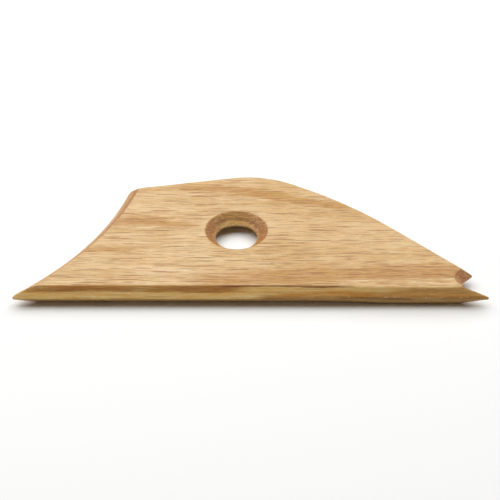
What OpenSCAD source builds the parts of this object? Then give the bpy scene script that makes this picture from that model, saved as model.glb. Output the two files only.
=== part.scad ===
// Pottery rib: a flat hand tool of solid oak that shapes and smooths the wall of a pot on the wheel.
// The outline is a straight working edge, a hollow end, a bowed back, a long slope and a small round
// notch beside a spike. A double bevel runs round all of it, and one finger hole goes through.
// The origin is on the underside, in the middle of the outline's box. +X runs along the length from
// the hollow end to the spike, +Y from the straight edge to the peak, and +Z up through the board.

/* [Board] */
// Length over the two tips
rib_l = 178; // [150:1:220]
// Width from the straight edge to the peak
rib_w = 76.7; // [70:0.1:95]
// Thickness of the board
rib_t = 8; // [6:0.5:14]

/* [Bevels] */
// Width of the bevel on each face, measured in from the edge
bevel_w = 3.5; // [2:0.1:5]
// Width of the broader bevel along the hollow end
hollow_bevel_w = 4.5; // [2:0.1:6]
// Wood left standing at the edge, between the two bevels
edge_t = 0.6; // [0.3:0.1:1.5]

/* [Hollow end and shoulder] */
// Radius of the hollow end
hollow_r = 124; // [80:1:250]
// Height of the left tip over the straight edge
left_tip_up = 1.9; // [0.2:0.1:3]
// Shoulder, where the hollow end meets the back, in from the left tip
shoulder_in = 39.9; // [32:0.1:46]
// Shoulder, down from the peak
shoulder_drop = 8.3; // [6:0.1:12]
// Length clipped off each side of the shoulder's corner, across which there is no bevel
clip = 1.7; // [0.8:0.1:4]

/* [Back, peak and slope] */
// Centre of the peak's rounding, right of the middle of the length
peak_x = -1.1; // [-8:0.1:6]
// Radius of the peak's rounding
peak_r = 38.5; // [25:0.5:41]
// Corner of the slope, before the belly rounds it, right of the peak
belly_run = 42.2; // [40:0.1:48]
// Corner of the slope, down from the peak
belly_drop = 18.4; // [16:0.1:22]
// Radius of the belly that rounds the slope's corner
belly_r = 170; // [60:1:180]

/* [Notch and spike] */
// Tip of the tooth over the notch, in from the end of the spike
tooth_in = 4.8; // [2:0.1:7]
// Tip of the tooth over the notch, up from the straight edge
tooth_up = 13.6; // [12:0.1:17]
// Radius at the bottom of the notch
notch_r = 2.8; // [1.5:0.1:3.5]
// Centre of the notch's bottom, in from the end of the spike
notch_in = 6.9; // [6:0.1:12]
// Centre of the notch's bottom, up from the straight edge
notch_up = 8.2; // [7:0.1:9]
// Height of the spike's tip over the straight edge
spike_tip_up = 0.8; // [0.2:0.1:3]

/* [Finger hole] */
// Diameter of the hole at its narrowest
hole_d = 16.4; // [12:0.1:22]
// Diameter of the countersink at each face
mouth_d = 24.8; // [20:0.1:32]
// Length of the straight wall between the two countersinks
hole_land = 0.8; // [0.4:0.1:2]
// Centre of the hole, right of the middle of the length
hole_x = -5.5; // [-20:0.5:20]
// Centre of the hole, up from the straight edge
hole_up = 37.7; // [28:0.1:46]

/* [Hidden] */
arc_fn = 360;
spill = 0.5;
front_y = -rib_w / 2;
mid_z = rib_t / 2;
bevel_h = (rib_t - edge_t) / 2;
reach = rib_l + rib_w;
left_tip = [-rib_l / 2, front_y + left_tip_up];
spike_tip = [rib_l / 2, front_y + spike_tip_up];
tooth_tip = [rib_l / 2 - tooth_in, front_y + tooth_up];
notch_c = [rib_l / 2 - notch_in, front_y + notch_up];
shoulder = [shoulder_in - rib_l / 2, rib_w / 2 - shoulder_drop];
peak_c = [peak_x, rib_w / 2 - peak_r];
belly_p = [peak_x + belly_run, rib_w / 2 - belly_drop];
hole_c = [hole_x, front_y + hole_up];
// Each rounding stands a hair proud of the edges that it joins, so that they meet in a clean crossing.
proud = 0.02;
// Directions in which the straight edges face, seen from above. Back and upper slope touch the peak.
back_a = touch(shoulder, peak_c, peak_r - proud, -1);
upper_a = touch(belly_p, peak_c, peak_r - proud, 1);
lower_a = bearing(belly_p, tooth_tip) + 90;
// The hollow end runs through the left tip and the shoulder, whose corner is clipped evenly.
hollow_c = meet(left_tip, hollow_r, shoulder, hollow_r, 1);
clip_a = (back_a + bearing(shoulder, hollow_c)) / 2;
clip_p = shoulder + clip * way(back_a - 90);
// The belly keeps within the straight runs on its two sides.
peak_end = peak_c + (peak_r - proud) * way(upper_a);
belly_room = 0.9 * min(norm(belly_p - peak_end), norm(belly_p - tooth_tip));
round_r = min(belly_r, belly_room / tan((upper_a - lower_a) / 2));
belly_c = inside_corner(belly_p, upper_a, lower_a, round_r - proud);
// The notch's two straight sides leave its round bottom in these directions.
side_r = notch_r - proud;
tooth_side_a = touch(tooth_tip, notch_c, side_r, 1);
spike_side_a = touch(spike_tip, notch_c, side_r, -1);

// Unit vector at an angle.
function way(a) = [cos(a), sin(a)];

// Angle of the direction from point p to point q.
function bearing(p, q) = atan2(q[1] - p[1], q[0] - p[0]);

// Crossing of two circles, on the left (side 1) or right (side -1) of the way from p to q.
function meet(p, p_r, q, q_r, side) =
    let (d = norm(q - p), u = (q - p) / d)
    let (along = (p_r * p_r - q_r * q_r + d * d) / (2 * d))
    let (across = sqrt(p_r * p_r - along * along))
    p + along * u + side * across * [-u[1], u[0]];

// Angle, seen from the centre c, at which a straight line from point p touches the circle of radius r.
function touch(p, c, r, side) = bearing(c, p) + side * acos(r / norm(p - c));

// Point at the distance r inside two edges that cross at p and face a and b.
function inside_corner(p, a, b, r) =
    let (bisector = (a + b) / 2)
    p - r / cos((a - b) / 2) * way(bisector);

// Section across a bevelled edge, of the wood that stays: x is the distance out from the edge, y the
// height.
module wood() {
    polygon([
        [-reach, 0],
        [-bevel_w, 0],
        [0, mid_z - edge_t / 2],
        [0, mid_z + edge_t / 2],
        [-bevel_w, rib_t],
        [-reach, rib_t]
    ]);
}

// The same section with no bevel.
module square_wood() {
    translate([-reach, -spill]) square([reach, rib_t + 2 * spill]);
}

// Section of the waste outside an edge, as far as out.
module waste(out) {
    slope_end = bevel_w + spill * bevel_w / bevel_h;
    polygon([
        [-slope_end, rib_t + spill],
        [0, mid_z + edge_t / 2],
        [0, mid_z - edge_t / 2],
        [-slope_end, -spill],
        [out, -spill],
        [out, rib_t + spill]
    ]);
}

// Runs a section along a straight edge through point p, which faces in the direction a.
module along(p, a) {
    translate([p[0], p[1], 0])
        rotate([0, 0, a - 90])
            translate([-rib_l, 0, 0])
                rotate([90, 0, 90])
                    linear_extrude(2 * rib_l) children();
}

// Waste outside a round edge, from the direction a_from to the direction a_to.
module beyond_round(c, r, a_from, a_to) {
    translate([c[0], c[1], 0])
        rotate([0, 0, a_from])
            rotate_extrude(angle = a_to - a_from, $fn = arc_fn)
                translate([r, 0]) waste(rib_w);
}

// Waste of a round opening: a straight wall of the length land at mid thickness, which widens by w to
// each face.
module opening(c, r, land, w) {
    mouth_r = r + w + spill * w / ((rib_t - land) / 2);
    translate([c[0], c[1], 0])
        rotate_extrude($fn = arc_fn)
            polygon([
                [0, -spill],
                [mouth_r, -spill],
                [r, mid_z - land / 2],
                [r, mid_z + land / 2],
                [mouth_r, rib_t + spill],
                [0, rib_t + spill]
            ]);
}

// The open mouth of the notch: between its two sides, and outward of where they leave the bottom.
module notch_mouth() {
    far = 2 * bevel_w + rib_t + notch_r;
    tooth_way = way(tooth_side_a);
    spike_way = way(spike_side_a);
    intersection() {
        along(notch_c + side_r * tooth_way, tooth_side_a + 180) waste(reach);
        along(notch_c + side_r * spike_way, spike_side_a + 180) waste(reach);
        translate([notch_c[0], notch_c[1], -2 * spill])
            linear_extrude(rib_t + 4 * spill)
                polygon([
                    [0, 0],
                    far * spike_way,
                    far * spike_way + [2 * far, 0],
                    far * tooth_way + [2 * far, 0],
                    far * tooth_way
                ]);
    }
}

// The board with its four straight bevelled edges, and the corner clipped square at the shoulder.
module straight_edges() {
    intersection() {
        translate([-rib_l / 2, front_y - spill, -spill]) cube([rib_l, rib_w + 2 * spill, rib_t + 2 * spill]);
        along([0, front_y], -90) wood();
        along(belly_p, lower_a) wood();
        along(belly_p, upper_a) wood();
        along(shoulder, back_a) wood();
        along(clip_p, clip_a) square_wood();
    }
}

// The same with the peak and the belly rounded, which completes the outward curves.
module rounded_edges() {
    difference() {
        straight_edges();
        beyond_round(peak_c, peak_r, upper_a, back_a);
        beyond_round(belly_c, round_r, lower_a, upper_a);
    }
}

// The whole rib: the bevelled board with the hollow end, the notch and the finger hole cut out.
module rib() {
    color([0.87, 0.73, 0.53])
        difference() {
            rounded_edges();
            opening(hollow_c, hollow_r, edge_t, hollow_bevel_w);
            opening(notch_c, notch_r, edge_t, bevel_w);
            notch_mouth();
            opening(hole_c, hole_d / 2, hole_land, (mouth_d - hole_d) / 2);
        }
}

rib();
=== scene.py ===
"""A pottery rib of flat-sawn oak, sanded and oiled, lying on a white table under soft light.

The whole tool is one board. Its outline is a straight working edge, a hollow end, a bowed back, a
long slope and a round notch beside a spike, with a bevel on each face all round it and a finger
hole that is countersunk from both sides. Lengths in this script are millimetres in the CAD frame,
unless a name or a docstring says otherwise; meshes are made in metres.
"""

import logging
import math
from collections.abc import Callable
from dataclasses import dataclass, field
from enum import Enum
from functools import partial

import bpy
import numpy as np
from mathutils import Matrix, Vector
from mathutils.geometry import delaunay_2d_cdt

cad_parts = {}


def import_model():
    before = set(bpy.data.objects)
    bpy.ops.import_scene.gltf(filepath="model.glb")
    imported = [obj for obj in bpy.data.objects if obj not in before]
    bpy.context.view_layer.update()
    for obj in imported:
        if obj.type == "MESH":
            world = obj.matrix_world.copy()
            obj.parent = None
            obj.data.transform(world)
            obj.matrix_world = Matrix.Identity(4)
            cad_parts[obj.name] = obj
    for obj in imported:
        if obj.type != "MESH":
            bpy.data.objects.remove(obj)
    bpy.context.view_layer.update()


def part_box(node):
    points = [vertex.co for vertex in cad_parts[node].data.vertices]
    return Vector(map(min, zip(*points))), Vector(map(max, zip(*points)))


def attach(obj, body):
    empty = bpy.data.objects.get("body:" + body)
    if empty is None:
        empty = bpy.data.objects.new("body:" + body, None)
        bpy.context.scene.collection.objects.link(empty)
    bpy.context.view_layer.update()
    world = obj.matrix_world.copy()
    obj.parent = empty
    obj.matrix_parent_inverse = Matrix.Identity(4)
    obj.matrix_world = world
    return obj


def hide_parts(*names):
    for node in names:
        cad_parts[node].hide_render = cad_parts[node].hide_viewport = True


LOG = logging.getLogger("pottery_rib")
MM = 0.001
NODE = "rib"
BODY = "root"
FAR = 1.0e6
# Kinds of node that are used throughout, a setting of theirs, and what goes into an input
MATH = "ShaderNodeMath"
VECTOR = "ShaderNodeVectorMath"
RANGE = "ShaderNodeMapRange"
MIX = "ShaderNodeMix"
SMOOTH = {"interpolation_type": "SMOOTHSTEP"}
Feed = bpy.types.Node | bpy.types.NodeSocket | bpy.types.Material | float | tuple[float, ...]


def way(angle: float) -> np.ndarray:
    """Unit vector at an angle in degrees."""
    return np.array([math.cos(math.radians(angle)), math.sin(math.radians(angle))])


def bearing(start: np.ndarray, end: np.ndarray) -> float:
    """Angle in degrees of the direction from start to end."""
    return math.degrees(math.atan2(end[1] - start[1], end[0] - start[0]))


def touch(point: np.ndarray, centre: np.ndarray, radius: float, side: int) -> float:
    """Finds where a straight line from a point touches a circle.

    Args:
        point: Where the line starts.
        centre: Centre of the circle.
        radius: Its radius.
        side: 1 or -1, for the touch left or right of the way to the point.

    Returns:
        The angle of the touch, seen from the centre, in degrees.
    """
    reach = float(np.linalg.norm(point - centre))
    return bearing(centre, point) + side * math.degrees(math.acos(radius / reach))


def meet(start: np.ndarray, end: np.ndarray, radius: float) -> np.ndarray:
    """Finds the centre of an arc through two points, on the left of the way between them.

    Args:
        start: The first point.
        end: The second point.
        radius: The arc's radius.

    Returns:
        The centre.
    """
    middle = (start + end) / 2
    half = float(np.linalg.norm(end - start)) / 2
    along = (end - start) / (2 * half)
    across = np.array([-along[1], along[0]])
    return middle + across * math.sqrt(radius * radius - half * half)


def soft_min(a: np.ndarray, b: np.ndarray, width: float) -> np.ndarray:
    """The smaller of two heights, rounded over where they are within width of each other."""
    near = np.maximum(width - np.abs(a - b), 0.0) / width
    return np.minimum(a, b) - near * near * width / 4


class Curve(Enum):
    """Which way an arc of the outline bends."""

    BOWED = 1
    HOLLOW = -1


@dataclass(frozen=True)
class Edge:
    """A stretch of the outline, going round the board anticlockwise.

    Attributes:
        widths: Widths of its bevel at even steps from its first end to its last, or none where the
            edge is left square.
        worn: How far from its first end the corner there is worn round.
    """

    widths: tuple[float, ...]
    worn: float

    def width(self, share: np.ndarray) -> np.ndarray:
        """Width of the bevel at a share of the way along the stretch."""
        return np.interp(share, np.linspace(0, 1, len(self.widths)), self.widths)


@dataclass(frozen=True)
class Straight(Edge):
    """A straight stretch from start to end."""

    start: np.ndarray
    end: np.ndarray

    def along(self) -> np.ndarray:
        """Unit vector from start to end."""
        return (self.end - self.start) / np.linalg.norm(self.end - self.start)

    def inward(self) -> np.ndarray:
        """Unit vector from the edge into the wood."""
        along = self.along()
        return np.array([-along[1], along[0]])

    def depth(self, points: np.ndarray) -> np.ndarray:
        """Measures how far inside the endless line of the edge points lie.

        Args:
            points: The points, one in each row.

        Returns:
            Their depths in bevel widths.
        """
        out = points - self.start
        share = out @ self.along() / np.linalg.norm(self.end - self.start)
        return out @ self.inward() / self.width(share)

    def row(self, inset: float, spacing: float) -> np.ndarray:
        """Places points along the stretch, both ends included.

        Args:
            inset: How far they lie inside it, in bevel widths.
            spacing: Greatest distance between them.

        Returns:
            The points, one in each row.
        """
        length = float(np.linalg.norm(self.end - self.start))
        share = np.linspace(0, 1, max(2, math.ceil(length / spacing) + 1))
        line = self.start + share[:, None] * (self.end - self.start)
        if not inset:
            return line
        return line + (inset * self.width(share))[:, None] * self.inward()


@dataclass(frozen=True)
class Arc(Edge):
    """A round stretch from the angle first to the angle last, in degrees."""

    centre: np.ndarray
    radius: float
    first: float
    last: float
    curve: Curve

    def depth(self, points: np.ndarray) -> np.ndarray:
        """Measures how far inside the arc points lie.

        Args:
            points: The points, one in each row.

        Returns:
            Their depths in bevel widths, or FAR beside the ends of a bowed arc.
        """
        out = points - self.centre
        angle = np.degrees(np.arctan2(out[:, 1], out[:, 0]))
        share = (angle - self.first) / (self.last - self.first)
        inside = self.curve.value * (self.radius - np.linalg.norm(out, axis=1)) / self.width(share)
        if self.curve is Curve.HOLLOW:
            return inside
        return np.where((share >= 0) & (share <= 1), inside, FAR)

    def row(self, inset: float, spacing: float) -> np.ndarray:
        """Places points along the arc, both ends included.

        Args:
            inset: How far they lie inside it, in bevel widths.
            spacing: Greatest distance between them.

        Returns:
            The points, one in each row.
        """
        length = self.radius * math.radians(abs(self.last - self.first))
        share = np.linspace(0, 1, max(2, math.ceil(length / spacing) + 1))
        angles = np.radians(self.first + share * (self.last - self.first))
        reach = self.radius - self.curve.value * inset * self.width(share)
        return self.centre + reach[:, None] * np.stack([np.cos(angles), np.sin(angles)], 1)


@dataclass(frozen=True)
class Notch(Edge):
    """The notch beside the spike: two straight sides that leave a round bottom.

    Its first two widths are those of the bevel at the ends of the spike's side. The others follow
    round the bottom, and the last one holds along the tooth.
    """

    spike_tip: np.ndarray
    tooth_tip: np.ndarray
    centre: np.ndarray
    radius: float

    def parts(self) -> tuple[Straight, Arc, Straight]:
        """Works out the notch's stretches.

        Returns:
            The side along the spike, the bottom, and the side under the tooth.
        """
        spike_a = touch(self.spike_tip, self.centre, self.radius, -1)
        tooth_a = touch(self.tooth_tip, self.centre, self.radius, 1)
        spike_end = self.centre + self.radius * way(spike_a)
        tooth_end = self.centre + self.radius * way(tooth_a)
        turn = (spike_a % 360, tooth_a % 360, Curve.HOLLOW)
        return (
            Straight(self.widths[:2], self.worn, self.spike_tip, spike_end),
            Arc(self.widths[1:], self.worn, self.centre, self.radius, *turn),
            Straight(self.widths[-1:], self.worn, tooth_end, self.tooth_tip),
        )

    def depth(self, points: np.ndarray) -> np.ndarray:
        """Measures how far points lie from the notch, inside the wood.

        Args:
            points: The points, one in each row.

        Returns:
            Their depths in bevel widths.
        """
        spike, bottom, tooth = self.parts()
        out = points - self.centre
        middle = tooth.along() - spike.along()
        above = middle[0] * out[:, 1] - middle[1] * out[:, 0] > 0
        beside = np.where(above, out @ tooth.along() > 0, out @ spike.along() < 0)
        side = np.where(above, tooth.depth(points), spike.depth(points))
        return np.where(beside, side, bottom.depth(points))

    def row(self, inset: float, spacing: float) -> np.ndarray:
        """Places points along the notch.

        Args:
            inset: How far they lie inside the wood, in bevel widths.
            spacing: Greatest distance between them.

        Returns:
            The points, one in each row.
        """
        spike, bottom, tooth = (part.row(inset, spacing) for part in self.parts())
        return np.concatenate([spike, bottom[1:-1], tooth])


Stretch = Straight | Arc | Notch


@dataclass
class RibBoard:
    """The rib's board: outline, double bevel and finger hole.

    Length, width and thickness come from the frame. The outline's and the hole's sizes are those of
    the CAD source, apart from the wear and the uneven hand work that only show close by. A size
    named _up is measured from the front, _in from the nearer end, _drop from the top of the peak,
    belly_run from the peak along the board, and one named _r is a radius.
    """

    length: float
    width: float
    thick: float
    # The outline
    hollow_r: float = 124.0
    left_tip_up: float = 1.85
    shoulder_in: float = 39.9
    shoulder_drop: float = 8.3
    clip: float = 1.7
    peak_x: float = -1.1
    peak_r: float = 38.5
    belly_run: float = 42.2
    belly_drop: float = 18.4
    belly_r: float = 170.0
    belly_room: float = 0.9
    tooth_in: float = 4.8
    tooth_up: float = 13.6
    notch_r: float = 2.5
    notch_in: float = 7.0
    notch_up: float = 8.2
    spike_tip_up: float = 0.75
    tip_slant: float = 1.4
    # The finger hole, with a straight wall between its two countersinks
    hole_r: float = 8.2
    mouth_r: float = 12.4
    hole_land: float = 0.8
    hole_x: float = -5.5
    hole_up: float = 37.7
    # The bevels, whose widths change along some edges, and the wood left between them
    bevel: float = 3.5
    front_bevel: tuple[float, ...] = (3.2, 3.2, 3.2, 3.2, 3.2, 3.2, 3.1, 2.1, 1.9, 2.5)
    hollow_bevel: tuple[float, ...] = (4.7, 4.5, 4.3, 4.6)
    notch_bevel: tuple[float, ...] = (3.4, 4.2, 3.6, 3.3, 3.2)
    tip_bevel: float = 2.0
    knife: float = 0.35
    # The wear: the front worn back, the corners rounded, and the arrises softened
    front_worn: float = 0.3
    round_front: float = 0.5
    round_spike: float = 0.4
    round_back: float = 1.0
    round_shoulder: float = 1.8
    round_left: float = 1.2
    sanding_rounds: int = 6
    sanding_pull: float = 0.5
    arris_soft: float = 0.4
    knife_round: float = 0.1
    throat_round: float = 0.06
    sharp_angle: float = 34.0
    # The mesh: rows of points by share of a bevel's width, and rings by distance from the hole
    fine: float = 0.5
    coarse_from: float = 1.2
    stations: int = 108
    crowding: float = 0.42
    weld: float = 1e-7
    row_shares: tuple[float, ...] = (0.1, 0.25, 0.42, 0.6, 0.77, 0.88, 0.95, 1.0, 1.05, 1.12, 1.3, 1.6)
    ring_reaches: tuple[float, ...] = (
        8.34, 8.8, 9.6, 10.4, 11.2, 11.8, 12.1, 12.3, 12.5, 12.7, 13.1, 14.2
    )
    # The ridges where two bevels meet: the rows stop short of them and a fine lattice takes over
    row_clear: float = 0.04
    row_slack: float = 0.02
    ridge_depth: float = 1.35
    ridge_span: float = 0.22
    ridge_start: float = 0.03
    ridge_cell: float = 0.4
    # The flat face: a broad lattice, which keeps off the bevels' rows and the hole's rings
    flat_depth: float = 1.8
    flat_reach: float = 15.5
    flat_cell: float = 2.2
    # The walls at the knife edge and the throat, with rings at these shares of half their height
    wall_shares: tuple[float, ...] = (0.45, -0.45)
    throat_clear: float = 0.1
    hole_c: np.ndarray = field(init=False)
    notch_c: np.ndarray = field(init=False)
    edges: list[Stretch] = field(init=False)

    def __post_init__(self) -> None:
        """Works out the stretches of the outline, anticlockwise from the left end of the front."""
        front = -self.width / 2
        tip = self.length / 2
        self.hole_c = np.array([self.hole_x, front + self.hole_up])
        self.notch_c = np.array([tip - self.notch_in, front + self.notch_up])
        left_tip = np.array([-tip, front + self.left_tip_up])
        spike_tip = np.array([tip, front + self.spike_tip_up])
        tooth_tip = np.array([tip - self.tooth_in, front + self.tooth_up])
        shoulder = np.array([self.shoulder_in - tip, self.width / 2 - self.shoulder_drop])
        peak_c = np.array([self.peak_x, self.width / 2 - self.peak_r])
        belly_p = np.array([self.peak_x + self.belly_run, self.width / 2 - self.belly_drop])
        back_a = touch(shoulder, peak_c, self.peak_r, -1)
        upper_a = touch(belly_p, peak_c, self.peak_r, 1)
        lower_a = bearing(belly_p, tooth_tip) + 90
        peak_end = peak_c + self.peak_r * way(upper_a)
        peak_start = peak_c + self.peak_r * way(back_a)
        nearer = min(np.linalg.norm(belly_p - peak_end), np.linalg.norm(belly_p - tooth_tip))
        half_turn = math.radians((upper_a - lower_a) / 2)
        round_r = min(self.belly_r, self.belly_room * nearer / math.tan(half_turn))
        belly_c = belly_p - round_r / math.cos(half_turn) * way((upper_a + lower_a) / 2)
        hollow_c = meet(left_tip, shoulder, self.hollow_r)
        clip_a = (back_a + bearing(shoulder, hollow_c)) / 2
        clip_p = shoulder + self.clip * way(back_a - 90)
        clip_q = self.line_on_circle(clip_p, clip_a + 90, hollow_c)
        belly_start = belly_c + round_r * way(lower_a)
        belly_end = belly_c + round_r * way(upper_a)
        hollow_first = bearing(hollow_c, clip_q)
        slant_x = self.tip_slant - tip
        slant_drop = math.sqrt(self.hollow_r**2 - (slant_x - hollow_c[0]) ** 2)
        slant_top = np.array([slant_x, hollow_c[1] - slant_drop])
        hollow_last = bearing(hollow_c, slant_top)
        even = (self.bevel,)
        tips = (self.tip_bevel,)
        hollow = (hollow_c, self.hollow_r, hollow_first, hollow_last, Curve.HOLLOW)
        left_end = np.array([-tip, front + self.front_worn])
        right_end = np.array([tip, front + self.front_worn])
        notch = (spike_tip, tooth_tip, self.notch_c, self.notch_r)
        belly = (belly_c, round_r, lower_a, upper_a, Curve.BOWED)
        peak = (peak_c, self.peak_r, upper_a, back_a, Curve.BOWED)
        self.edges = [
            Straight(self.front_bevel, self.round_front, left_end, right_end),
            Straight(tips, self.round_spike, right_end, spike_tip),
            Notch(self.notch_bevel, self.round_spike, *notch),
            Straight(even, self.round_front, tooth_tip, belly_start),
            Arc(even, self.round_back, *belly),
            Straight(even, self.round_back, belly_end, peak_end),
            Arc(even, self.round_back, *peak),
            Straight(even, self.round_back, peak_start, clip_p),
            Straight((), self.round_shoulder, clip_p, clip_q),
            Arc(self.hollow_bevel, self.round_shoulder, *hollow),
            Straight(tips, self.round_left, slant_top, left_end),
        ]

    def line_on_circle(self, start: np.ndarray, angle: float, centre: np.ndarray) -> np.ndarray:
        """Finds where a line first meets the hollow end's circle.

        Args:
            start: Where the line starts.
            angle: Its direction in degrees.
            centre: Centre of the circle.

        Returns:
            The point.
        """
        out = start - centre
        half = float(out @ way(angle))
        root = math.sqrt(half * half - float(out @ out) + self.hollow_r**2)
        return start + min(s for s in (-half - root, -half + root) if s > 0) * way(angle)

    def height(self, points: np.ndarray) -> np.ndarray:
        """Finds the height of the upper surface over the underside.

        Args:
            points: Points of the plan, one in each row.

        Returns:
            The height at each.
        """
        low = (self.thick + self.knife) / 2
        rise = (self.thick - self.knife) / 2
        top = np.full(len(points), self.thick)
        for edge in self.edges:
            if edge.widths:
                slope = low + np.maximum(edge.depth(points), 0) * rise
                top = soft_min(top, slope, self.arris_soft)
        reach = np.linalg.norm(points - self.hole_c, axis=1) - self.hole_r
        cone_rise = (self.thick - self.hole_land) / 2 / (self.mouth_r - self.hole_r)
        cone = (self.thick + self.hole_land) / 2 + np.maximum(reach, 0) * cone_rise
        return np.maximum(soft_min(top, cone, self.arris_soft), low)

    def nearness(self, points: np.ndarray) -> np.ndarray:
        """Depth of each point in bevel widths, with one row for each bevelled edge."""
        return np.stack([e.depth(points) for e in self.edges if e.widths])

    def outline(self) -> np.ndarray:
        """Makes the worn outline: the edges' own points, with the corners sanded a little round.

        Returns:
            Its loop of points.
        """
        rows = [edge.row(0.0, self.fine) for edge in self.edges]
        points = np.concatenate([row[:-1] for row in rows])
        corners = [(row[0], edge.worn) for row, edge in zip(rows, self.edges)]
        spread = [np.linalg.norm(points - corner, axis=1) / worn for corner, worn in corners]
        give = self.sanding_pull * np.exp(-(np.min(spread, axis=0) ** 2))[:, None]
        for _ in range(self.sanding_rounds):
            middle = (np.roll(points, 1, 0) + np.roll(points, -1, 0)) / 2
            points = points + give * (middle - points)
        return points

    def sketch(self, rim: np.ndarray) -> np.ndarray:
        """Places the inner points of the upper face.

        Args:
            rim: The outline's loop of points.

        Returns:
            The points, finest along the bevels and their arrises.
        """
        rows: list[np.ndarray] = []
        for index, edge in enumerate([e for e in self.edges if e.widths]):
            for share in self.row_shares:
                row = edge.row(share, self.fine if share < self.coarse_from else 2 * self.fine)
                near = self.nearness(row)
                others = np.delete(near, index, 0).min(0)
                clear = others > share + self.row_clear
                rows.append(row[clear & (near[index] > share - self.row_slack)])
        rings = []
        turn = np.radians(np.arange(self.stations) * 360 / self.stations)
        for reach in self.ring_reaches:
            rings.append(self.hole_c + reach * np.stack([np.cos(turn), np.sin(turn)], 1))
        fine = self.lattice(self.ridge_cell)
        near = np.sort(self.nearness(fine), 0)
        beside = near[1] - near[0] < self.ridge_span
        ridge = fine[(near[1] < self.ridge_depth) & beside & (near[0] > self.ridge_start)]
        flat = self.lattice(self.flat_cell)
        reach = np.linalg.norm(flat - self.hole_c, axis=1)
        flat = flat[(self.nearness(flat).min(0) > self.flat_depth) & (reach > self.flat_reach)]
        every = np.concatenate([*rows, *rings, ridge, flat])
        reach = np.linalg.norm(every - self.hole_c, axis=1)
        every = every[(reach > self.hole_r + self.throat_clear) & self.within(every, rim)]
        return self.thinned(every, rim)

    def lattice(self, spacing: float) -> np.ndarray:
        """Makes an even triangular lattice over the board's box.

        Args:
            spacing: Distance between its points.

        Returns:
            The points, one in each row.
        """
        rise = spacing * math.sqrt(3) / 2
        ys = np.arange(-self.width / 2, self.width / 2, rise)
        xs = np.arange(-self.length / 2, self.length / 2, spacing)
        shift = np.where(np.arange(len(ys)) % 2 == 0, 0.0, spacing / 2)
        grid = np.stack(np.meshgrid(xs, ys), -1)
        grid[:, :, 0] += shift[:, None]
        return grid.reshape(-1, 2)

    @staticmethod
    def within(points: np.ndarray, loop: np.ndarray) -> np.ndarray:
        """Tells which points lie inside a closed loop, by counting crossings.

        Args:
            points: The points, one in each row.
            loop: The loop's points in order.

        Returns:
            Whether each lies inside.
        """
        after = np.roll(loop, -1, 0)
        inside = np.zeros(len(points), bool)
        for (ax, ay), (bx, by) in zip(loop, after):
            if ay == by:
                continue
            spans = (points[:, 1] < max(ay, by)) & (points[:, 1] >= min(ay, by))
            crossing = ax + (points[:, 1] - ay) * (bx - ax) / (by - ay)
            inside ^= spans & (points[:, 0] < crossing)
        return inside

    def thinned(self, points: np.ndarray, rim: np.ndarray) -> np.ndarray:
        """Drops points that crowd an earlier one or the rim.

        Args:
            points: The points, one in each row.
            rim: The outline's loop of points.

        Returns:
            The points that are left.
        """
        gap = self.crowding * self.fine
        cells: dict[tuple[int, int], list[tuple[float, float]]] = {}

        def crowded(x: float, y: float) -> bool:
            """Tells whether a kept point is nearer than the gap.

            Args:
                x: Place along the board.
                y: Place across it.

            Returns:
                Whether one is.
            """
            i, j = int(x // gap), int(y // gap)
            return any(
                (x - px) ** 2 + (y - py) ** 2 < gap * gap
                for di in (-1, 0, 1)
                for dj in (-1, 0, 1)
                for px, py in cells.get((i + di, j + dj), ())
            )

        for x, y in rim:
            cells.setdefault((int(x // gap), int(y // gap)), []).append((x, y))
        kept = []
        for x, y in points:
            if not crowded(x, y):
                cells.setdefault((int(x // gap), int(y // gap)), []).append((x, y))
                kept.append((x, y))
        return np.array(kept)

    @staticmethod
    def inset(loop: np.ndarray, by: float) -> np.ndarray:
        """Moves a loop into the wood.

        Args:
            loop: The loop's points in order.
            by: How far.

        Returns:
            The moved points.
        """
        along = np.roll(loop, -1, 0) - np.roll(loop, 1, 0)
        along /= np.linalg.norm(along, axis=1)[:, None]
        return loop + by * np.stack([-along[:, 1], along[:, 0]], 1)

    def build(self, name: str) -> bpy.types.Object:
        """Makes the board's closed mesh.

        Args:
            name: Name of the object.

        Returns:
            The object, at the origin, with its place in its mesh.
        """
        knife_line = self.outline()
        rim = self.inset(knife_line, self.knife_round)
        turn = np.radians(-np.arange(self.stations) * 360 / self.stations)
        circle = np.stack([np.cos(turn), np.sin(turn)], 1)
        throat = self.hole_c + (self.hole_r + self.throat_round) * circle
        plan = np.concatenate([rim, throat, self.sketch(rim)])
        n_rim, n_throat = len(rim), len(throat)
        loops = [(i, (i + 1) % n_rim) for i in range(n_rim)]
        loops += [(n_rim + i, n_rim + (i + 1) % n_throat) for i in range(n_throat)]
        made = delaunay_2d_cdt([Vector(p) for p in plan.tolist()], loops, [], 0, self.weld)
        plan = np.array([tuple(v) for v in made[0]])
        faces = np.array([f for f in made[2] if len(f) == 3])
        middle = plan[faces].mean(1)
        faces = faces[self.within(middle, rim) & ~self.within(middle, throat)]
        first, second, third = plan[faces].transpose(1, 0, 2)
        along, across = second - first, third - first
        turned = along[:, 0] * across[:, 1] < along[:, 1] * across[:, 0]
        faces[turned] = faces[turned][:, ::-1]
        top = self.height(plan)
        count = len(plan)
        corners = [*np.column_stack([plan, top]), *np.column_stack([plan, self.thick - top])]
        polygons = [*faces.tolist(), *(faces[:, ::-1] + count).tolist()]
        self.wall(corners, polygons, count, range(n_rim), knife_line, top[:n_rim])
        narrow = self.hole_c + self.hole_r * circle
        rest = range(n_rim, n_rim + n_throat)
        self.wall(corners, polygons, count, rest, narrow, top[n_rim : n_rim + n_throat])
        mesh = bpy.data.meshes.new(name)
        mesh.from_pydata([tuple(float(v) * MM for v in p) for p in corners], [], polygons)
        mesh.validate()
        mesh.shade_smooth()
        mesh.set_sharp_from_angle(angle=math.radians(self.sharp_angle))
        board = bpy.data.objects.new(name, mesh)
        bpy.context.collection.objects.link(board)
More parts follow.
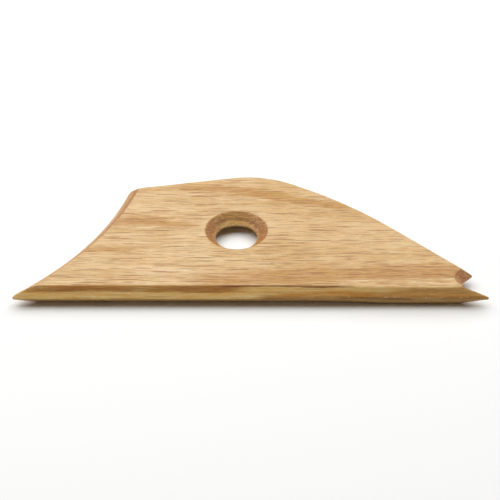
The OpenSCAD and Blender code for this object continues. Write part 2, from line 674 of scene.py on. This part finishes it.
        LOG.info("%s: %d points, %d faces", name, len(mesh.vertices), len(mesh.polygons))
        return board

    def wall(
        self,
        corners: list[np.ndarray],
        polygons: list[list[int]],
        count: int,
        ring: range,
        proud: np.ndarray,
        top: np.ndarray,
    ) -> None:
        """Closes the narrow side between the two faces with a slightly rounded strip.

        Args:
            corners: The mesh's points so far, which the strip adds to.
            polygons: The mesh's faces so far, which the strip adds to.
            count: Number of points on each face.
            ring: Places of the upper face's ring of points.
            proud: The ring of points at mid thickness, which stand proudest.
            top: Height of the upper ring.
        """
        first = len(corners)
        size = len(ring)
        middle = self.thick / 2
        upper = np.array([corners[i][:2] for i in ring])
        for share in self.wall_shares:
            flat = proud + (upper - proud) * share * share
            corners.extend(np.column_stack([flat, middle + (top - middle) * share]))
        for i in range(size):
            j = (i + 1) % size
            chain = [
                (ring[i], ring[j]),
                (first + i, first + j),
                (first + size + i, first + size + j),
                (ring[i] + count, ring[j] + count),
            ]
            for (a, b), (c, d) in zip(chain, chain[1:]):
                polygons.append([b, a, c, d])


def linear(code: str) -> tuple[float, float, float, float]:
    """Turns an sRGB hex code into a linear colour.

    Args:
        code: The colour, such as #E4C18E.

    Returns:
        Red, green and blue as linear light, and a full alpha.
    """
    parts = [int(code[i : i + 2], 16) / 255 for i in (1, 3, 5)]
    turned = [p / 12.92 if p <= 0.04045 else ((p + 0.055) / 1.055) ** 2.4 for p in parts]
    return (turned[0], turned[1], turned[2], 1.0)


def add_node(
    tree: bpy.types.NodeTree,
    kind: str,
    *feeds: Feed,
    named: dict[str, Feed] | None = None,
    **settings: str,
) -> bpy.types.Node:
    """Adds a node with its settings and links.

    Args:
        tree: The shader or geometry tree.
        kind: Type of the node.
        *feeds: What goes into its live inputs, in order: a value, a socket, or a node whose first
            live output is meant.
        named: The same for inputs that are called by name.
        **settings: The node's own properties.

    Returns:
        The node.
    """
    node = tree.nodes.new(kind)
    for key, value in settings.items():
        setattr(node, key, value)
    live = [socket for socket in node.inputs if socket.enabled]
    pairs = [*zip(live, feeds), *((node.inputs[key], feed) for key, feed in (named or {}).items())]
    for socket, feed in pairs:
        if isinstance(feed, bpy.types.Node):
            feed = next(output for output in feed.outputs if output.enabled)
        if isinstance(feed, bpy.types.NodeSocket):
            tree.links.new(feed, socket)
        else:
            socket.default_value = feed
    return node


@dataclass(frozen=True)
class Stain:
    """A colour that is laid over the wood, as sRGB hex, and how far it covers, from 0 to 1."""

    tone: str
    weight: float

    def lay(self, tree: bpy.types.NodeTree, mask: Feed, colour: Feed) -> bpy.types.Node:
        """Lays the stain over a colour where a mask shows it."""
        share = add_node(tree, MATH, mask, self.weight, operation="MULTIPLY")
        return add_node(tree, MIX, share, colour, linear(self.tone), data_type="RGBA")


@dataclass(frozen=True)
class Streaks:
    """Noise that is drawn out along the fibres.

    Attributes:
        size: Length, breadth and height of a streak in millimetres.
        detail: Octaves of the noise.
        roughness: Weight of each octave against the one before.
    """

    size: tuple[float, float, float]
    detail: float
    roughness: float = 0.55

    def add(self, tree: bpy.types.NodeTree, place: bpy.types.Node) -> bpy.types.Node:
        """Adds the noise to a shader tree.

        Args:
            tree: The tree.
            place: Node with the position in millimetres.

        Returns:
            The node with the noise, which swings between -0.5 and 0.5.
        """
        scaled = add_node(tree, VECTOR, place, self.size, operation="DIVIDE")
        named = {
            "Vector": scaled,
            "Scale": 1.0,
            "Detail": self.detail,
            "Roughness": self.roughness,
        }
        noise = add_node(tree, "ShaderNodeTexNoise", named=named)
        return add_node(tree, MATH, noise, 0.5, operation="SUBTRACT")


@dataclass(frozen=True)
class PoreLayer:
    """One size of the pores.

    Attributes:
        scale: Length and spacing, as a share of the longest pores'.
        half: Half breadth, as a share of the longest pores'.
        depth: How dark a pore is, from 0 to 1.
        shift: How far the layer is moved off the others, in millimetres.
    """

    scale: float
    half: float
    depth: float
    shift: float


class Zone(Enum):
    """Where a band of figure shows."""

    FACE = "flat faces"
    EDGE = "bevels of the outline"
    HOLE = "countersinks of the finger hole"


@dataclass(frozen=True)
class Surface:
    """What the patterns of the oak read of the surface.

    Attributes:
        tree: The shader tree.
        place: Node with the position in millimetres.
        axes: Node with the same position, by axis.
        zones: How far the surface belongs to each zone, from 0 to 1.
        wobble: Slow noise about 0, which bends the bands.
        fibre: Fine noise about 0, which frays them.
    """

    tree: bpy.types.NodeTree
    place: bpy.types.Node
    axes: bpy.types.Node
    zones: dict[Zone, bpy.types.Node]
    wobble: bpy.types.Node
    fibre: bpy.types.Node


@dataclass(frozen=True)
class FigureBand:
    """A band of darker or paler wood that the saw cut along the growth rings.

    Attributes:
        zone: Where it shows. On the flat faces its height is measured along Y, elsewhere along Z.
        start: X at which it begins.
        end: X at which it ends.
        low: Its middle line's height at the start.
        high: Its middle line's height at the end.
        bow: How far the middle line rises over the straight way between them.
        half: Half its breadth.
        tone: Its colour as sRGB hex.
        weight: How far it covers the wood, from 0 to 1.
        border: Shares of its half breadth at which it begins to show and is full.
        fade: Share of its length over which each end fades, and the most in millimetres.
        streaks: Range of the fine noise over which it gains its full tone on the flat faces.
        least: Share of its tone that it keeps there between the streaks.
    """

    zone: Zone
    start: float
    end: float
    low: float
    high: float
    bow: float
    half: float
    tone: str
    weight: float
    border: tuple[float, float] = (1.35, 0.55)
    fade: tuple[float, float] = (0.3, 12.0)
    streaks: tuple[float, float] = (-0.12, 0.1)
    least: float = 0.4

    def lay(self, surface: Surface, colour: Feed) -> bpy.types.Node:
        """Lays the band over a colour.

        Args:
            surface: What it reads of the surface.
            colour: The colour so far.

        Returns:
            The node with the new colour.
        """
        add = partial(add_node, surface.tree)
        x = surface.axes.outputs["X"]
        cover = add(MATH, surface.zones[self.zone], self.ends(add, x), operation="MULTIPLY")
        # The face cuts the rings at a slant, so the same noise moves a band much further there
        axis, sway, fray = ("Y", 6.0, 9.0) if self.zone is Zone.FACE else ("Z", 0.9, 0.9)
        share = add(RANGE, x, self.start, self.end)
        left = add(MATH, 1.0, share, operation="SUBTRACT")
        arch = add(MATH, share, left, operation="MULTIPLY")
        line = add(MATH, share, self.high - self.low, self.low, operation="MULTIPLY_ADD")
        for noise, gain in ((arch, 4 * self.bow), (surface.wobble, sway), (surface.fibre, fray)):
            line = add(MATH, noise, gain, line, operation="MULTIPLY_ADD")
        off = add(MATH, surface.axes.outputs[axis], line, operation="SUBTRACT")
        off = add(MATH, off, operation="ABSOLUTE")
        body = add(RANGE, off, *(part * self.half for part in self.border), **SMOOTH)
        cover = add(MATH, cover, body, operation="MULTIPLY")
        if self.zone is Zone.FACE:
            full = add(RANGE, surface.fibre, *self.streaks, **SMOOTH)
            streaky = add(MATH, full, 1 - self.least, self.least, operation="MULTIPLY_ADD")
            cover = add(MATH, cover, streaky, operation="MULTIPLY")
        return Stain(self.tone, self.weight).lay(surface.tree, cover, colour)

    def ends(self, add: Callable[..., bpy.types.Node], x: Feed) -> bpy.types.Node:
        """Fades the band in at its start and out at its end.

        Args:
            add: Adds a node to the shader tree.
            x: Socket with the place along the board in millimetres.

        Returns:
            The node with how far the band shows, from 0 to 1.
        """
        share, most = self.fade
        fade = min(share * (self.end - self.start), most) / 2
        rise = add(RANGE, x, self.start - fade, self.start + fade, **SMOOTH)
        fall = add(RANGE, x, self.end + fade, self.end - fade, **SMOOTH)
        return add(MATH, rise, fall, operation="MULTIPLY")


@dataclass(frozen=True)
class OiledOak:
    """Flat-sawn oak, sanded and oiled.

    The saw opens the growth rings as drifting straw and ochre bands, and cuts the early wood's
    pores lengthwise into short dark dashes. The oil gives a soft satin gloss. Where a cut crosses
    the fibres, as in the hollow end, the notch and the sides of the hole, the end grain drinks more
    oil and turns a redder brown.

    The pores are up to 0.4 mm broad, as real ones are. The fibres are about 0.02 mm thick, too fine
    to show, so they are drawn as bundles of 0.5 to 0.9 mm, and the end grain's specks as 0.5 mm.

    Attributes:
        face_tilt: Upward part of the normal at which a bevel begins and is full.
        end_tilt: Lengthwise part of the normal at which end grain begins and is full.
        under_shade_tilt: Normal's upward part at which a lower bevel's painted shade begins and is
            full.
        hole_reach: Distances from the hole's axis at which its countersink begins and is full.
        torn_up: Height of the torn end grain's middle over the notch's centre, along Y.
        torn_reach: Distances from that middle at which the tearing begins and is full.
        torn_from: Distances behind the front edge at which it begins and is full.
        drift_range: Where the drift turns from straw to honey.
        warmth: Gamma of the plain wood. A higher one is darker and warmer.
        fibre_warmth: What the fibres add to it.
        fleck_warmth: What the short flecks add to it.
        level: Brightness of the plain wood.
        speck_all: What the specks add to it everywhere.
        speck_end: What they add to it where the end grain is open.
        pore_length: Length of the longest pores.
        pore_spacing: Breadth of the strip that holds one row of them.
        pore_half: Half their breadth.
        pore_pitch: Length of the cell that holds one pore, in pore lengths.
        pore_reach: Half a pore's length and depth, as shares of its cell.
        pore_border: Shares of a pore's reach at which it begins to show and is full.
        pore_chance: Range of a cell's random number over which its pore gains its full depth.
        pore_loss: How far the pores fade on the bevels, which cut them short.
        fibre_relief: Height of the fibres, as a share of a pore's depth.
        relief: Depth of a pore in millimetres.
        relief_strength: How far the relief shows.
    """

    straw: str = "#E4C18E"
    honey: str = "#D3AC73"
    pore: Stain = Stain("#804A10", 0.95)
    end_grain: Stain = Stain("#A56C38", 0.62)
    torn_grain: Stain = Stain("#C89260", 0.75)
    # Painted shade: the lower bevels and lower countersink are browned as if they lay in shade
    under_painted_shade: Stain = Stain("#86602F", 0.6)
    bevel_gold: Stain = Stain("#EDC172", 0.8)
    roughness: float = 0.5
    gloss_ior: float = 1.46
    drift: Streaks = Streaks((55.0, 7.0, 5.0), 3.0)
    wobble: Streaks = Streaks((22.0, 6.0, 3.0), 2.0)
    fibre: Streaks = Streaks((16.0, 0.9, 0.9), 3.0)
    fleck: Streaks = Streaks((4.0, 0.5, 0.5), 2.0)
    speck: Streaks = Streaks((0.6, 0.45, 0.45), 2.0)
    face_tilt: tuple[float, float] = (0.97, 0.85)
    end_tilt: tuple[float, float] = (0.25, 0.65)
    under_shade_tilt: tuple[float, float] = (-0.05, -0.4)
    hole_reach: tuple[float, float] = (16.0, 15.0)
    torn_up: float = 2.15
    torn_reach: tuple[float, float] = (7.5, 5.5)
    torn_from: tuple[float, float] = (3.85, 5.85)
    drift_range: tuple[float, float] = (-0.14, 0.14)
    warmth: float = 1.02
    fibre_warmth: float = -1.3
    fleck_warmth: float = -0.9
    level: float = 0.91
    speck_all: float = 0.3
    speck_end: float = 0.9
    pore_length: float = 12.0
    pore_spacing: float = 2.7
    pore_half: float = 0.21
    pore_pitch: float = 1.2
    pore_reach: tuple[float, float] = (0.46, 0.5)
    pore_border: tuple[float, float] = (1.05, 0.75)
    pore_chance: tuple[float, float] = (0.0, 0.6)
    pore_loss: float = 0.75
    fibre_relief: float = 0.25
    relief: float = 0.05
    relief_strength: float = 0.4
    layers: tuple[PoreLayer, ...] = (
        PoreLayer(scale=1.0, half=1.0, depth=1.0, shift=0.0),
        PoreLayer(scale=0.7, half=0.85, depth=0.8, shift=40.0),
        PoreLayer(scale=0.45, half=0.75, depth=0.7, shift=90.0),
    )
    bands: tuple[FigureBand, ...] = (
        # Ochre rings over the face: past the peak, left of the hole, on the slope and at the front
        FigureBand(Zone.FACE, -30, 40, 28.5, 12.0, 2.5, 2.8, "#B27818", 0.9),
        FigureBand(Zone.FACE, -60, -22, 5.0, 3.0, 0.5, 2.6, "#B67E28", 0.85),
        FigureBand(Zone.FACE, -70, -46, -14.0, -13.5, 0.0, 2.2, "#B8802A", 0.8),
        FigureBand(Zone.FACE, 6, 110, -6.0, -20.0, 0.0, 40.0, "#C0903E", 0.35),
        FigureBand(Zone.FACE, -20, 84, -32.6, -27.0, 1.5, 4.6, "#AE7518", 0.9),
        # A pale strip along the front arris on the right half
        FigureBand(Zone.FACE, 60, 82, -33.6, -33.0, 0.0, 1.2, "#E8CFA2", 0.6),
        # The dark ring along the top of the front bevel, which dips as it goes right
        FigureBand(Zone.EDGE, -84, -4, 6.95, 7.15, 0.0, 1.0, "#B27A36", 0.95),
        FigureBand(Zone.EDGE, -84, -8, 6.75, 6.9, 0.0, 0.22, "#8E5C22", 0.4),
        FigureBand(Zone.EDGE, -26, -8, 6.4, 6.6, -0.3, 0.55, "#B07832", 0.8),
        FigureBand(Zone.EDGE, -12, 36, 7.9, 7.6, 0.0, 0.35, "#8A5A28", 0.9),
        # Browner rings low on the right half of the bevel
        FigureBand(Zone.EDGE, 10, 88, 5.5, 5.2, 0.2, 0.8, "#D09648", 0.85),
        FigureBand(Zone.EDGE, 4, 90, 4.3, 4.2, 0.0, 0.7, "#A26C2C", 0.75),
        FigureBand(Zone.EDGE, 56, 95, 7.0, 6.6, 0.0, 1.0, "#B47838", 0.6),
        FigureBand(Zone.EDGE, 34, 57, 4.4, 4.3, 0.0, 0.3, "#84561F", 0.7),
        # The same rings as the countersink cuts them, with the pale one at the throat
        FigureBand(Zone.HOLE, -20, 9, 7.2, 7.0, 0.0, 1.3, "#AC7634", 0.8),
        FigureBand(Zone.HOLE, -22, 11, 5.0, 5.0, 0.0, 0.6, "#CF9C52", 0.8),
        FigureBand(Zone.HOLE, -17, 6, 5.85, 5.8, 0.0, 0.5, "#84571F", 0.75),
        FigureBand(Zone.HOLE, -20, 9, 4.25, 4.25, 0.0, 0.4, "#E2C68C", 0.8),
    )

    def material(self, name: str, board: RibBoard) -> bpy.types.Material:
        """Builds the finish.

        Args:
            name: Name of the material.
            board: The board that it dresses, which says where the hole and the notch are.

        Returns:
            The material.
        """
        material = bpy.data.materials.new(name)
        material.use_nodes = True
        tree = material.node_tree
        tree.nodes.clear()
        add = partial(add_node, tree)
        given = add("ShaderNodeTexCoord")
        place = add(VECTOR, given.outputs["Object"], 1 / MM, operation="SCALE")
        axes = add("ShaderNodeSeparateXYZ", place)
        normal = add("ShaderNodeSeparateXYZ", given.outputs["Normal"])
        upward = add(MATH, normal.outputs["Z"], operation="ABSOLUTE")
        on_bevel = add(RANGE, upward, *self.face_tilt, **SMOOTH)
        in_hole = self.in_hole(tree, place, on_bevel, board)
        zones = {
            Zone.FACE: add(MATH, 1.0, on_bevel, operation="SUBTRACT"),
            Zone.EDGE: add(MATH, on_bevel, in_hole, operation="SUBTRACT"),
            Zone.HOLE: in_hole,
        }
        fibre = self.fibre.add(tree, place)
        surface = Surface(tree, place, axes, zones, self.wobble.add(tree, place), fibre)
        drift = add(RANGE, self.drift.add(tree, place), *self.drift_range, **SMOOTH)
        colour = add(MIX, drift, linear(self.straw), linear(self.honey), data_type="RGBA")
        colour = self.bevel_gold.lay(tree, on_bevel, colour)
        for band in self.bands:
            colour = band.lay(surface, colour)
        lengthwise = add(MATH, normal.outputs["X"], operation="ABSOLUTE")
        end = add(RANGE, lengthwise, *self.end_tilt, **SMOOTH)
        end = add(MATH, end, on_bevel, operation="MULTIPLY")
        colour = self.end_grain.lay(tree, end, colour)
        colour = self.torn_grain.lay(tree, self.torn(surface, on_bevel, board), colour)
        # Painted shade on the bevels that face down, which browns them as if they lay in shade
        painted_underside = add(RANGE, normal.outputs["Z"], *self.under_shade_tilt, **SMOOTH)
        painted_underside = add(MATH, painted_underside, on_bevel, operation="MULTIPLY")
        colour = self.under_painted_shade.lay(tree, painted_underside, colour)
        open_end = add(MATH, end, in_hole, operation="MAXIMUM")
        colour = self.grained(surface, colour, open_end)
        kept = add(MATH, on_bevel, -self.pore_loss, 1.0, operation="MULTIPLY_ADD")
        pores = add(MATH, self.pores(tree, place), kept, operation="MULTIPLY")
        raised = add(MATH, fibre, self.fibre_relief, operation="MULTIPLY")
        height = add(MATH, raised, pores, operation="SUBTRACT")
        relief = {"Height": height, "Distance": self.relief * MM, "Strength": self.relief_strength}
        shaded = {
            "Base Color": self.pore.lay(tree, pores, colour),
            "Normal": add("ShaderNodeBump", named=relief),
            "Roughness": self.roughness,
            "IOR": self.gloss_ior,
        }
        add("ShaderNodeOutputMaterial", add("ShaderNodeBsdfPrincipled", named=shaded))
        return material

    def in_hole(
        self,
        tree: bpy.types.NodeTree,
        place: bpy.types.Node,
        on_bevel: bpy.types.Node,
        board: RibBoard,
    ) -> bpy.types.Node:
        """Finds the countersinks of the finger hole.

        Args:
            tree: The shader tree.
            place: Node with the position in millimetres.
            on_bevel: Node with how far the surface is a slanted cut.
            board: The board.

        Returns:
            The node with how far the surface is in the hole, from 0 to 1.
        """
        flat = add_node(tree, VECTOR, place, (1.0, 1.0, 0.0), operation="MULTIPLY")
        off = add_node(tree, VECTOR, flat, (*board.hole_c, 0.0), operation="DISTANCE")
        near = add_node(tree, RANGE, off, *self.hole_reach, **SMOOTH)
        return add_node(tree, MATH, on_bevel, near, operation="MULTIPLY")

    def torn(self, surface: Surface, on_bevel: bpy.types.Node, board: RibBoard) -> bpy.types.Node:
        """Finds the end grain that the notch's cutter tore open.

        Args:
            surface: What the patterns read of the surface.
            on_bevel: Node with how far the surface is a slanted cut.
            board: The board.

        Returns:
            The node with how far it is torn, from 0 to 1.
        """
        add = partial(add_node, surface.tree)
        middle = (board.notch_c[0], board.notch_c[1] + self.torn_up, board.thick / 2)
        off = add(VECTOR, surface.place, middle, operation="DISTANCE")
        near = add(RANGE, off, *self.torn_reach, **SMOOTH)
        near = add(MATH, on_bevel, near, operation="MULTIPLY")
        limits = [up - board.width / 2 for up in self.torn_from]
        behind = add(RANGE, surface.axes.outputs["Y"], *limits, **SMOOTH)
        return add(MATH, near, behind, operation="MULTIPLY")

    def grained(self, surface: Surface, colour: Feed, open_end: Feed) -> bpy.types.Node:
        """Gives a colour its fine warm and cool streaks, and its specks where end grain is open.

        Args:
            surface: What the patterns read of the surface.
            colour: The colour so far.
            open_end: Node with how far the end grain is open, from 0 to 1.

        Returns:
            The node with the new colour.
        """
        add = partial(add_node, surface.tree)
        warmth = add(MATH, surface.fibre, self.fibre_warmth, self.warmth, operation="MULTIPLY_ADD")
        fleck = self.fleck.add(surface.tree, surface.place)
        warmth = add(MATH, fleck, self.fleck_warmth, warmth, operation="MULTIPLY_ADD")
        colour = add("ShaderNodeGamma", colour, warmth)
        gain = add(MATH, open_end, self.speck_end, self.speck_all, operation="MULTIPLY_ADD")
        speck = self.speck.add(surface.tree, surface.place)
        level = add(MATH, speck, gain, self.level, operation="MULTIPLY_ADD")
        return add(VECTOR, colour, level, operation="SCALE")

    def pores(self, tree: bpy.types.NodeTree, place: bpy.types.Node) -> bpy.types.Node:
        """Draws the early wood's pores as tapered dashes, one to a cell of a stretched lattice.

        Args:
            tree: The shader tree.
            place: Node with the position in millimetres.

        Returns:
            The node with how much of a pore shows, from 0 to 1.
        """
        add = partial(add_node, tree)
        found = None
        for layer in self.layers:
            spacing = layer.scale * self.pore_spacing
            # A cell is deeper than it is broad, so that a pore runs on down the bevels
            cell = (self.pore_pitch * layer.scale * self.pore_length, spacing, 2 * spacing)
            moved = add(VECTOR, place, (layer.shift,) * 3, operation="ADD")
            scaled = add(VECTOR, moved, cell, operation="DIVIDE")
            centres = {"Vector": scaled, "Scale": 1.0, "Randomness": 1.0}
            lattice = add("ShaderNodeTexVoronoi", named=centres, feature="F1")
            off = add(VECTOR, scaled, lattice.outputs["Position"], operation="SUBTRACT")
            long, deep = self.pore_reach
            reach = (long, layer.half * self.pore_half / spacing, deep)
            off = add(VECTOR, off, reach, operation="DIVIDE")
            off = add(VECTOR, off, operation="LENGTH")
            dash = add(RANGE, off, *self.pore_border, **SMOOTH)
            chance = add("ShaderNodeSeparateColor", lattice.outputs["Color"])
            strength = add(RANGE, chance, *self.pore_chance, **SMOOTH)
            strength = add(MATH, strength, layer.depth, operation="MULTIPLY")
            dash = add(MATH, dash, strength, operation="MULTIPLY")
            found = dash if found is None else add(MATH, found, dash, operation="MAXIMUM")
        return found


@dataclass(frozen=True)
class TornOak:
    """Bare oak fibre where the surface tore: dry, pale and matt, as no oil dressed it down."""

    pale: str = "#F0DDB4"
    roughness: float = 0.9

    def material(self, name: str) -> bpy.types.Material:
        """Builds the finish.

        Args:
            name: Name of the material.

        Returns:
            The material.
        """
        material = bpy.data.materials.new(name)
        material.use_nodes = True
        shader = material.node_tree.nodes["Principled BSDF"]
        shader.inputs["Base Color"].default_value = linear(self.pale)
        shader.inputs["Roughness"].default_value = self.roughness
        return material


@dataclass
class EdgeFibres:
    """Torn fibres that stand off the front bevel just over the knife edge.

    A Geometry Nodes tree strews thin tapered slivers along the edge.

    Attributes:
        board: The board that they stand on.
        count: How many there are.
        seed: Seed of everything random about them.
        sliver: Length of the longest.
        breadth: Its breadth at the root.
        tip: Half its breadth at the tip.
        sides: Number of its flat sides.
        run: Shares of the board's length, from its middle, between which they stand.
        off_front: How far behind the front they stand.
        off_middle: How high over mid thickness they stand.
        stray: How far each may lie off its even place along the edge.
        lift: How far it may lie behind and over it.
        tilt_low: Least turn about each axis in radians.
        tilt_high: Greatest turn about each axis in radians.
        least: Size of the smallest, as a share of the largest.
    """

    board: RibBoard
    count: int = 13
    seed: int = 11
    sliver: float = 1.3
    breadth: float = 0.3
    tip: float = 0.02
    sides: int = 5
    run: tuple[float, float] = (0.2, 0.47)
    off_front: float = 0.55
    off_middle: float = 0.55
    stray: float = 3.2
    lift: float = 0.1
    tilt_low: tuple[float, float, float] = (-0.2, 1.35, -0.12)
    tilt_high: tuple[float, float, float] = (0.2, 1.75, 0.12)
    least: float = 0.35

    def tree(self, material: bpy.types.Material) -> bpy.types.NodeTree:
        """Builds the tree that strews the slivers.

        Args:
            material: Their finish.

        Returns:
            The tree.
        """
        tree = bpy.data.node_groups.new("strewn fibres", "GeometryNodeTree")
        face = tree.interface
        for name, kind in (
            ("Path", "NodeSocketGeometry"),
            ("Count", "NodeSocketInt"),
            ("Seed", "NodeSocketInt"),
            ("Length", "NodeSocketFloat"),
            ("Breadth", "NodeSocketFloat"),
        ):
            face.new_socket(name, in_out="INPUT", socket_type=kind)
        face.new_socket("Fibres", in_out="OUTPUT", socket_type="NodeSocketGeometry")
        add = partial(add_node, tree)
        given = add("NodeGroupInput").outputs
        seeded = {"Seed": given["Seed"]}
        random = "FunctionNodeRandomValue"
        curve = add("GeometryNodeMeshToCurve", given["Path"])
        spaced = {"Curve": curve, "Count": given["Count"]}
        evenly = add("GeometryNodeResampleCurve", named=spaced)
        points = add("GeometryNodeCurveToPoints", evenly, mode="EVALUATED")
        least = (-self.stray * MM, 0.0, 0.0)
        most = (self.stray * MM, self.lift * MM, self.lift * MM)
        slide = add(random, least, most, named=seeded, data_type="FLOAT_VECTOR")
        moved = add("GeometryNodeSetPosition", points, named={"Offset": slide})
        shape = {
            "Vertices": self.sides,
            "Radius Top": self.tip * MM,
            "Radius Bottom": given["Breadth"],
            "Depth": given["Length"],
        }
        strewn = {
            "Points": moved,
            "Instance": add("GeometryNodeMeshCone", named=shape),
            "Rotation": add(
                random, self.tilt_low, self.tilt_high, named=seeded, data_type="FLOAT_VECTOR"
            ),
            "Scale": add(random, self.least, 1.0, named=seeded, data_type="FLOAT"),
        }
        slivers = add("GeometryNodeInstanceOnPoints", named=strewn)
        real = add("GeometryNodeRealizeInstances", slivers)
        dressed = add("GeometryNodeSetMaterial", real, named={"Material": material})
        add("NodeGroupOutput", dressed)
        return tree

    def build(self, name: str, material: bpy.types.Material) -> bpy.types.Object:
        """Strews the slivers along the front and makes them one plain mesh.

        Args:
            name: Name of the object.
            material: Their finish.

        Returns:
            The object.
        """
        front = self.off_front - self.board.width / 2
        level = self.off_middle + self.board.thick / 2
        mesh = bpy.data.meshes.new(name + " path")
        ends = [(share * self.board.length * MM, front * MM, level * MM) for share in self.run]
        mesh.from_pydata(ends, [(0, 1)], [])
        path = bpy.data.objects.new(name + " path", mesh)
        bpy.context.collection.objects.link(path)
        modifier = path.modifiers.new("fibres", "NODES")
        modifier.node_group = self.tree(material)
        values = {
            "Count": self.count,
            "Seed": self.seed,
            "Length": self.sliver * MM,
            "Breadth": self.breadth / 2 * MM,
        }
        for item in modifier.node_group.interface.items_tree:
            if item.item_type == "SOCKET" and item.in_out == "INPUT" and item.name in values:
                modifier[item.identifier] = values[item.name]
        graph = bpy.context.evaluated_depsgraph_get()
        plain = bpy.data.meshes.new_from_object(path.evaluated_get(graph), depsgraph=graph)
        path.modifiers.clear()
        bpy.data.objects.remove(path)
        plain.name = name
        fibres = bpy.data.objects.new(name, plain)
        bpy.context.collection.objects.link(fibres)
        LOG.info("%s: %d faces", name, len(plain.polygons))
        return fibres


@dataclass(frozen=True)
class Studio:
    """The white table, the lamp, the white room and the camera.

    Attributes:
        distance: From the camera to the point that it looks at, in millimetres.
        elevation: Height of the view over the table, in degrees.
        focal_px: Focal length in pixels of the frame.
        frame_px: Side of the frame in pixels.
        sensor_mm: Side of the sensor in millimetres.
        aim: The point that the camera looks at, in millimetres.
        clip: Nearest and furthest distance that it sees, in metres.
        floor_half: Half the side of the table top, in millimetres.
        white: Colour of the table top as sRGB hex.
        floor_roughness: Roughness of the table top.
        lamp_place: Place of the lamp in metres.
        lamp_size: Length and breadth of the lamp in metres.
        lamp_watts: Power of the lamp.
        room_light: Strength of the light that the room gives.
    """

    distance: float = 600.0
    elevation: float = 37.84
    focal_px: float = 1533.0
    frame_px: float = 500.0
    sensor_mm: float = 36.0
    aim: tuple[float, float, float] = (-0.25, -3.25, 0.0)
    clip: tuple[float, float] = (0.01, 20.0)
    floor_half: float = 1500.0
    white: str = "#FAFAF8"
    floor_roughness: float = 0.9
    lamp_place: tuple[float, float, float] = (-0.08, 0.34, 0.85)
    lamp_size: tuple[float, float] = (2.2, 1.3)
    lamp_watts: float = 20.5
    room_light: float = 0.05

    def camera(self) -> None:
        """Places the camera at the photograph's viewing angle."""
        data = bpy.data.cameras.new("camera")
        data.sensor_width = self.sensor_mm
        data.lens = self.focal_px / self.frame_px * self.sensor_mm
        data.clip_start, data.clip_end = self.clip
        view = bpy.data.objects.new("camera", data)
        tilt = math.radians(self.elevation)
        back = Vector((0.0, -math.cos(tilt), math.sin(tilt)))
        view.location = (Vector(self.aim) + back * self.distance) * MM
        view.rotation_euler = (math.pi / 2 - tilt, 0.0, 0.0)
        bpy.context.collection.objects.link(view)
        bpy.context.scene.camera = view

    def floor(self) -> bpy.types.Object:
        """Lays the white table top, which keeps the rib's shadow.

        Its laminate is matt and even, so that nothing but the shadow shows on it.

        Returns:
            The table top.
        """
        half = self.floor_half * MM
        mesh = bpy.data.meshes.new("floor")
        square = [(-half, -half, 0), (half, -half, 0), (half, half, 0), (-half, half, 0)]
        mesh.from_pydata(square, [], [(0, 1, 2, 3)])
        material = bpy.data.materials.new("white laminate table top, matt")
        material.use_nodes = True
        shader = material.node_tree.nodes["Principled BSDF"]
        shader.inputs["Base Color"].default_value = linear(self.white)
        shader.inputs["Roughness"].default_value = self.floor_roughness
        shader.inputs["Specular IOR Level"].default_value = 0.0
        mesh.materials.append(material)
        floor = bpy.data.objects.new("floor", mesh)
        bpy.context.collection.objects.link(floor)
        return floor

    def lamp(self, name: str) -> None:
        """Hangs a broad soft box that faces the rib.

        Args:
            name: Name of the lamp.
        """
        data = bpy.data.lights.new(name, "AREA")
        data.shape = "RECTANGLE"
        data.size, data.size_y = self.lamp_size
        data.energy = self.lamp_watts
        lamp = bpy.data.objects.new(name, data)
        lamp.location = self.lamp_place
        lamp.rotation_euler = Vector(self.lamp_place).to_track_quat("Z", "Y").to_euler()
        bpy.context.collection.objects.link(lamp)

    def room(self, name: str) -> None:
        """Sets soft light from all round, with white walls where the camera or a gloss sees them.

        Args:
            name: Name of the world.
        """
        world = bpy.data.worlds.new(name)
        bpy.context.scene.world = world
        world.use_nodes = True
        world.node_tree.nodes.clear()
        add = partial(add_node, world.node_tree)
        rays = add("ShaderNodeLightPath").outputs
        seen = rays["Is Camera Ray"]
        for kind in ("Is Glossy Ray", "Is Transmission Ray"):
            seen = add(MATH, seen, rays[kind], operation="MAXIMUM")
        level = add(MIX, seen, self.room_light, 1.0, data_type="FLOAT")
        light = add("ShaderNodeBackground", (1.0, 1.0, 1.0, 1.0), level)
        add("ShaderNodeOutputWorld", light)

    def build(self) -> None:
        """Sets up the whole studio."""
        self.floor()
        self.camera()
        self.lamp("broad soft box, overhead and a little behind")
        self.room("soft white room")
        bpy.context.scene.view_settings.view_transform = "Standard"


def main() -> None:
    """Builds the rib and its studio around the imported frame."""
    logging.basicConfig(level=logging.INFO)
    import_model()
    low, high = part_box(NODE)
    span = (high - low) / MM
    board = RibBoard(length=span.x, width=span.y, thick=span.z)
    rib = board.build("rib_board")
    rib.data.materials.append(OiledOak().material("flat-sawn oak, sanded and oiled", board))
    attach(rib, BODY)
    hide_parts(NODE)
    torn = TornOak().material("torn oak fibre, dry and pale")
    fibres = EdgeFibres(board).build("torn_edge_fibres", torn)
    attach(fibres, BODY)
    Studio().build()


if __name__ == "__main__":
    main()
